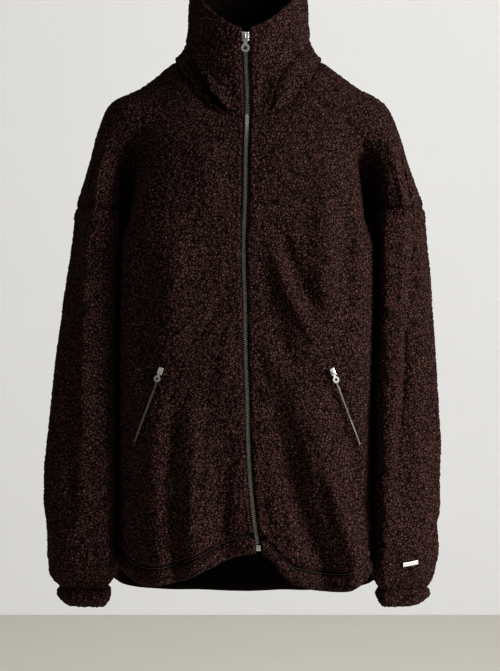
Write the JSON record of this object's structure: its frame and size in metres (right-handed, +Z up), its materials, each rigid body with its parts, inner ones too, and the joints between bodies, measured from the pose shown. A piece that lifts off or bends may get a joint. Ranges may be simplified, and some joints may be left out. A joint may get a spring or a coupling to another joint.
{
  "type": "pile fleece jacket",
  "caption": "Worn pile fleece jacket with high funnel collar, dropped shoulders, wide sleeves, elastic cuffs, full front zip and slanted zip pockets; pull tabs swing.",
  "frame": {"origin": "between the shoulders at the base of the neck, where the wearer holds the jacket up", "axes": "+Z up from hem to collar, the front faces -Y, +X towards the wearer's left sleeve"},
  "size_m": [0.5678, 0.3217, 0.9032],
  "materials": {
    "pile_brown": "dark chocolate brown curly pile fleece, matt with a faint sheen",
    "tape_brown": "dark brown woven tape and bag cloth",
    "zip_metal": "satin nickel",
    "plate_metal": "satin plain plate"
  },
  "bodies": {
    "garment": {"front_left": "pile_brown", "front_right": "pile_brown", "back": "pile_brown", "sleeve_left": "pile_brown", "sleeve_right": "pile_brown", "cuff_left": "pile_brown", "cuff_right": "pile_brown", "collar": "pile_brown", "pocket_bag_left": "tape_brown", "pocket_bag_right": "tape_brown", "zip_tape_left": "tape_brown", "zip_tape_right": "tape_brown", "zip_chain": "zip_metal", "zip_box": "zip_metal", "zip_slider": "zip_metal", "pocket_chain_left": "zip_metal", "pocket_chain_right": "zip_metal", "pocket_slider_left": "zip_metal", "pocket_slider_right": "zip_metal", "sleeve_plate": "plate_metal"},
    "zip_pull": {"zip_pull": "zip_metal"},
    "pocket_pull_left": {"pocket_pull_left": "zip_metal"},
    "pocket_pull_right": {"pocket_pull_right": "zip_metal"}
  },
  "joints": [
    {"name": "zip_pull_hinge", "type": "hinge", "parent": "garment", "child": "zip_pull", "pos_m": [-0.0007, -0.11128, 0.0425], "axis": [-1, 0, 0], "range_deg": [0, 150]},
    {"name": "pocket_pull_left_hinge", "type": "hinge", "parent": "garment", "child": "pocket_pull_left", "pos_m": [0.12084, -0.14646, -0.42778], "axis": [-0.9044, -0.2264, -0.3617], "range_deg": [0, 150]},
    {"name": "pocket_pull_right_hinge", "type": "hinge", "parent": "garment", "child": "pocket_pull_right", "pos_m": [-0.11871, -0.14681, -0.42664], "axis": [-0.9043, 0.2285, 0.3605], "range_deg": [0, 150]}
  ]
}
